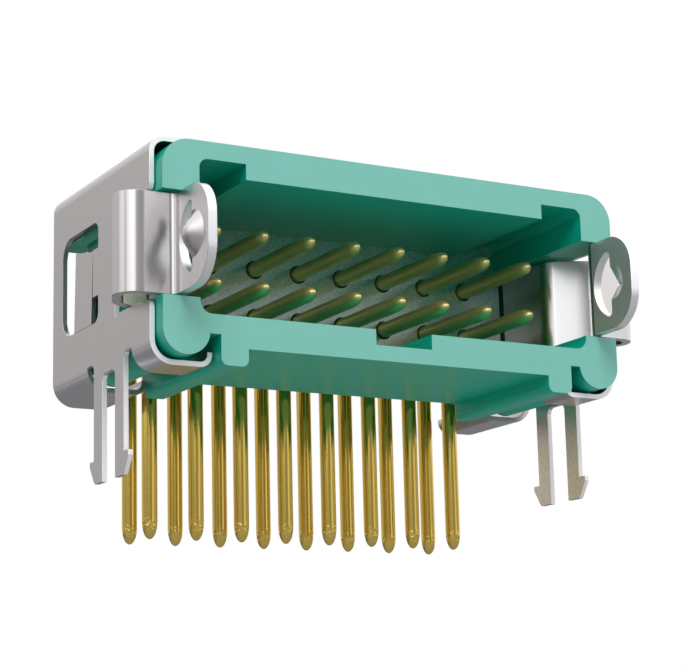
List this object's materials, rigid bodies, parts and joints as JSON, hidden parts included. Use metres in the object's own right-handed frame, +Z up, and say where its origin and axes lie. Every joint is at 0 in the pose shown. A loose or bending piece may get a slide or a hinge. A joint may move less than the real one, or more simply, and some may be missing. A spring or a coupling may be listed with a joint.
{
  "type": "right-angle pin header",
  "caption": "Right-angle shrouded pin header for a circuit board edge, with two rows of round contacts, folded steel board-lock brackets and spring latch clips at both ends.",
  "frame": {"origin": "centre of the pattern of sixteen tails, on the top surface of the circuit board", "axes": "+X along the contact rows, +Y from the mating face to the back, +Z up from the board"},
  "size_m": [0.029, 0.0164, 0.0177],
  "materials": {
    "teal_plastic": "fine satin moulded surface",
    "stainless_sheet": "dull rolled sheet with bright cut edges",
    "spring_steel": "bright rolled strip",
    "gold_plated_wire": "smooth gold plating"
  },
  "bodies": {
    "root": {"housing": "teal_plastic", "left_bracket": "stainless_sheet", "right_bracket": "stainless_sheet", "left_latch_clip": "spring_steel", "right_latch_clip": "spring_steel", "upper_pin_1": "gold_plated_wire", "upper_pin_2": "gold_plated_wire", "upper_pin_3": "gold_plated_wire", "upper_pin_4": "gold_plated_wire", "upper_pin_5": "gold_plated_wire", "upper_pin_6": "gold_plated_wire", "upper_pin_7": "gold_plated_wire", "upper_pin_8": "gold_plated_wire", "lower_pin_1": "gold_plated_wire", "lower_pin_2": "gold_plated_wire", "lower_pin_3": "gold_plated_wire", "lower_pin_4": "gold_plated_wire", "lower_pin_5": "gold_plated_wire", "lower_pin_6": "gold_plated_wire", "lower_pin_7": "gold_plated_wire", "lower_pin_8": "gold_plated_wire"}
  },
  "joints": []
}
